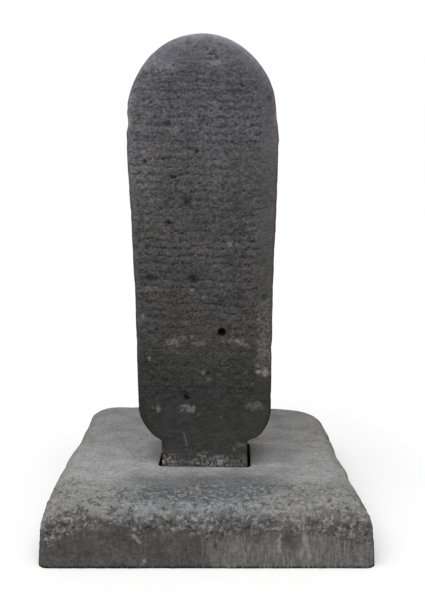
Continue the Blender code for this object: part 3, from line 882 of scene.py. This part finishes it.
# Painted shade darkens the outer edges of the long sides
long_side_shade = ramp(np.abs(outward[..., 0]), 0.75, 0.97) * ramp(z, 1.30, 1.05) * ramp(z, 0.1, 0.2)
shade *= 1.0 - 0.55 * long_side_shade
# Painted shade darkens the dents, and a brown tint follows it
shade *= 1.0 - dent_shade_and_brown
# Painted shade darkens the bored hole
shade *= 1.0 - 0.9 * bored
shade *= 1.0 + 0.35 * edge * on_front * ramp(z, 0.2, 0.5)
pale_spots = (
    # across, height, half width, half height, lightness, strength
    (-0.150, 1.424, 0.050, 0.012, 0.34, 0.9),
    (-0.165, 1.440, 0.056, 0.040, 0.44, 0.7),
    (-0.150, 1.478, 0.050, 0.026, 0.30, 0.7),
    (-0.160, 1.452, 0.090, 0.060, 0.21, 0.5),
    (-0.195, 1.390, 0.030, 0.050, 0.22, 0.5),
    (0.036, 1.448, 0.036, 0.013, 0.33, 0.8),
    (0.022, 1.480, 0.024, 0.020, 0.23, 0.6),
    (0.055, 1.480, 0.020, 0.014, 0.23, 0.6),
    (-0.108, 1.224, 0.030, 0.014, 0.22, 0.8),
    (-0.175, 1.150, 0.034, 0.022, 0.19, 0.5),
    (-0.250, 1.150, 0.014, 0.100, 0.22, 0.6),
    (0.042, 1.120, 0.028, 0.018, 0.22, 0.6),
    (0.020, 1.050, 0.050, 0.026, 0.18, 0.5),
    (-0.060, 0.940, 0.028, 0.020, 0.150, 0.8),
    (-0.100, 1.040, 0.020, 0.012, 0.19, 0.7),
    (-0.140, 0.884, 0.034, 0.016, 0.145, 0.7),
    (0.090, 0.830, 0.014, 0.012, 0.28, 0.9),
    (0.198, 0.880, 0.018, 0.018, 0.15, 0.5),
    (-0.062, 0.683, 0.014, 0.010, 0.18, 0.8),
    (-0.040, 0.665, 0.020, 0.008, 0.20, 0.8),
    (-0.012, 0.644, 0.020, 0.012, 0.26, 0.9),
    (-0.196, 0.660, 0.046, 0.018, 0.17, 0.8),
    (-0.228, 0.562, 0.018, 0.020, 0.26, 0.9),
    (0.076, 0.684, 0.034, 0.012, 0.145, 0.7),
    (0.073, 0.582, 0.028, 0.016, 0.150, 0.7),
    (-0.118, 0.477, 0.034, 0.020, 0.19, 0.9),
    (-0.063, 0.490, 0.046, 0.014, 0.17, 0.9),
    (-0.010, 0.468, 0.044, 0.018, 0.15, 0.8),
    (-0.107, 0.446, 0.016, 0.022, 0.15, 0.7),
    (0.101, 0.483, 0.036, 0.016, 0.20, 0.9),
    (0.132, 0.473, 0.028, 0.020, 0.22, 0.9),
    (0.154, 0.460, 0.018, 0.014, 0.16, 0.7),
    (0.200, 0.738, 0.028, 0.024, 0.14, 0.6),
    (0.208, 0.612, 0.022, 0.040, 0.14, 0.6),
    (0.196, 0.556, 0.012, 0.010, 0.34, 0.9),
    (0.212, 0.470, 0.026, 0.050, 0.15, 0.7),
    (0.206, 0.416, 0.028, 0.034, 0.17, 0.7),
    (0.204, 0.372, 0.032, 0.020, 0.34, 0.9),
    (0.228, 0.357, 0.018, 0.012, 0.28, 0.8),
    (-0.205, 0.409, 0.009, 0.009, 0.32, 1.0),
    (-0.006, 0.360, 0.018, 0.010, 0.22, 0.8),
    (0.022, 0.332, 0.018, 0.010, 0.22, 0.8),
    (-0.068, 0.225, 0.034, 0.016, 0.23, 0.9),
    (-0.044, 0.212, 0.016, 0.012, 0.20, 0.8),
    (-0.176, 0.218, 0.018, 0.018, 0.19, 0.8),
    (0.184, 0.236, 0.034, 0.020, 0.16, 0.7),
    (-0.020, 0.200, 0.008, 0.008, 0.15, 0.7),
    (0.060, 0.190, 0.007, 0.007, 0.14, 0.7),
    (0.132, 0.077, 0.028, 0.018, 0.15, 0.7),
    (0.110, 0.066, 0.030, 0.006, 0.16, 0.7),
)
patchy = np.clip(0.60 + 1.5 * grain(rings, 0.014, 139, 3), 0.0, 1.0)
for across, height, reach_x, reach_z, light, strength in pale_spots:
    spot = blot(rings, seen_x, z, (across, height), (reach_x, reach_z), 149, 0.6)
    shade += (light - shade) * (strength * on_front * patchy * spot)
# One pale scratch slants down the stone between the shoulders
scratch_x = seen_x + 0.076 - 0.011 * np.clip((0.128 - z) / 0.047, 0.0, 1.0)
scratch = np.hypot(scratch_x, np.maximum(0.0, np.abs(z - 0.105) - 0.023))
shade += (0.17 - shade) * 0.7 * on_face * ramp(scratch, 0.004, 0.001)
# Lichen speckles the tenon's foot and, more thinly, the plain strip on the right
lichen = ramp(z + 0.018 * grain(rings, 0.030, 151, 3), 0.068, 0.015) * on_front
foot_share = 0.35 + ramp(np.abs(seen_x - 0.03), 0.09, 0.03) + ramp(seen_x, -0.10, -0.13)
lichen *= np.clip(foot_share, 0.0, 1.0)
strip_share = ramp(seen_x, 0.175, 0.205) * ramp(z, 0.66, 0.58) * ramp(z, 0.33, 0.37)
lichen = lichen + 0.40 * on_front * strip_share
right_side = ramp(seen_x, 0.205, 0.255) * ramp(z, 0.2, 0.4) * ramp(-y, 0.09, 0.115)
red_blue_points = (
    (0.0, 0.01), (0.3, 0.02), (0.7, 0.04), (1.0, 0.01), (1.2, -0.02), (1.35, -0.06), (1.5, -0.10),
)
red_blue = curve(z, red_blue_points)
red_blue = red_blue + 0.12 * right_side + 0.10 * dent_shade_and_brown + 0.04 * cloud(rings, 0.09, 157)
red_blue = red_blue + 0.5 * blot(rings, seen_x, z, (0.0, 1.256), (0.010, 0.010))
# Painted highlights: pale warm glints at the two notches in the slab's sides
for across, height in ((-0.266, 1.258), (0.262, 1.275)):
    notch_glint = on_front * blot(rings, seen_x, z, (across, height), (0.014, 0.028), 149, 0.2)
    red_blue = red_blue + 0.25 * notch_glint
    shade += (0.34 - shade) * 0.7 * notch_glint
green_points = (
    (0.0, 0.005), (0.4, 0.01), (0.6, -0.015), (1.0, -0.015), (1.3, -0.045), (1.5, -0.060),
)
green = curve(z, green_points)
green = green - 0.06 * right_side - 0.15 * blot(rings, seen_x, z, (0.0, 1.256), (0.010, 0.010))
smoothness = (1.0 - 0.45 * right_strip) * (1.0 - 0.45 * ramp(z, 1.40, 1.48))
olive = ramp(np.abs(z - 0.50), 0.09, 0.03) * ramp(np.abs(seen_x - 0.02), 0.20, 0.10) * on_front
red_blue, green = red_blue + 0.10 * olive, green + 0.03 * olive
tones = {
    "stone_colour": stone_colour(shade, red_blue, green),
    "lichen": lichen,
    "pitted": body * smoothness,
}
stele = stone_piece("stele_stone", placed, tones, (True, False))

n = Nodes("dark_volcanic_stone", 0.88)
pitted_tone = n.tone("pitted")
fine = n.noise(100.0, 4.0, 0.66, (0.95, 0.95, 1.1))
mottle = n.plus(n.times(n.between(fine, 0.32, 0.68, -0.36, 0.38), pitted_tone), 1.0)
colour = n.scaled(n.tone("stone_colour", "Color"), mottle)
lichen_specks = n.between(n.noise(95.0, 4.0, 0.7), 0.48, 0.58)
colour = n.mix(n.times(n.times(n.tone("lichen"), lichen_specks), 0.85), colour, grey(0.33, 0.05))
n.put(n.shader.inputs["Base Color"], colour)
relief = n.times(n.plus(fine, n.times(n.noise(210.0, 3.0, 0.6), 0.4)), pitted_tone)
n.put(n.shader.inputs["Normal"], n.bump(relief, 1.0, 0.009))
stele.data.materials.append(n.material)
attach(stele, "root")
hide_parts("stele")

# ---- Floor, light and camera ----
# A plain pale studio floor under soft light from all round, with one wide soft light from above.
# They aren't part of the object. The floor sends back less light than it shows, so that the stone
# isn't lit from below.
FLOOR_HALF = 40.0
FLOOR_DROP = 0.0005
FLOOR_SEEN, FLOOR_SENT_BACK = 0.98, 0.40
VIEW_FOCUS_PX = 675.0
VIEW_WIDTH_PX = 425
VIEW_TILT = np.radians(8.61)
VIEW_PLACE = (0.028, -2.615, 1.170)
SKY_STRENGTH = 0.34
SUN_STRENGTH = 2.5
SUN_SPREAD = np.radians(70.0)
SUN_FROM = (-0.12, -0.42, 1.0)

floor_mesh = bpy.data.meshes.new("studio_floor")
corners = np.array([(-1, -1, 0), (1, -1, 0), (1, 1, 0), (-1, 1, 0)], float) * FLOOR_HALF
floor_mesh.from_pydata(corners, [], [(0, 1, 2, 3)])
floor = bpy.data.objects.new("studio_floor", floor_mesh)
floor.location.z = -FLOOR_DROP
bpy.context.scene.collection.objects.link(floor)
n = Nodes("studio_white", 1.0)
n.shader.inputs["Specular IOR Level"].default_value = 0.0
seen_directly = n.add("LightPath").outputs["Is Camera Ray"]
n.put(n.shader.inputs["Base Color"], n.mix(seen_directly, grey(FLOOR_SENT_BACK), grey(FLOOR_SEEN)))
floor_mesh.materials.append(n.material)

scene = bpy.context.scene
scene.view_settings.view_transform = "Standard"
world = bpy.data.worlds.new("studio_air")
scene.world = world
world.use_nodes = True
tree = world.node_tree
tree.nodes.clear()
soft, seen = (tree.nodes.new("ShaderNodeBackground") for _ in range(2))
for background, strength in ((soft, SKY_STRENGTH), (seen, 1.0)):
    background.inputs["Color"].default_value = (1.0, 1.0, 1.0, 1.0)
    background.inputs["Strength"].default_value = strength
rays = tree.nodes.new("ShaderNodeLightPath")
choice = tree.nodes.new("ShaderNodeMixShader")
output = tree.nodes.new("ShaderNodeOutputWorld")
tree.links.new(rays.outputs["Is Camera Ray"], choice.inputs[0])
tree.links.new(soft.outputs[0], choice.inputs[1])
tree.links.new(seen.outputs[0], choice.inputs[2])
tree.links.new(choice.outputs[0], output.inputs["Surface"])

lamp = bpy.data.lights.new("overhead_soft", "SUN")
lamp.energy = SUN_STRENGTH
lamp.angle = SUN_SPREAD
lamp_object = bpy.data.objects.new("overhead_soft", lamp)
lamp_object.location = (0.0, 0.0, 4.0)
turn_x = np.arctan2(SUN_FROM[1], SUN_FROM[2])
turn_y = np.arctan2(SUN_FROM[0], SUN_FROM[2])
lamp_object.rotation_euler = (-turn_x, turn_y, 0.0)
scene.collection.objects.link(lamp_object)

camera = bpy.data.cameras.new("studio_camera")
camera.sensor_fit = "HORIZONTAL"
camera.sensor_width = 36.0
camera.lens = camera.sensor_width * VIEW_FOCUS_PX / VIEW_WIDTH_PX
camera_object = bpy.data.objects.new("studio_camera", camera)
camera_object.location = VIEW_PLACE
camera_object.rotation_euler = (np.pi / 2 - VIEW_TILT, 0.0, 0.0)
scene.collection.objects.link(camera_object)
scene.camera = camera_object
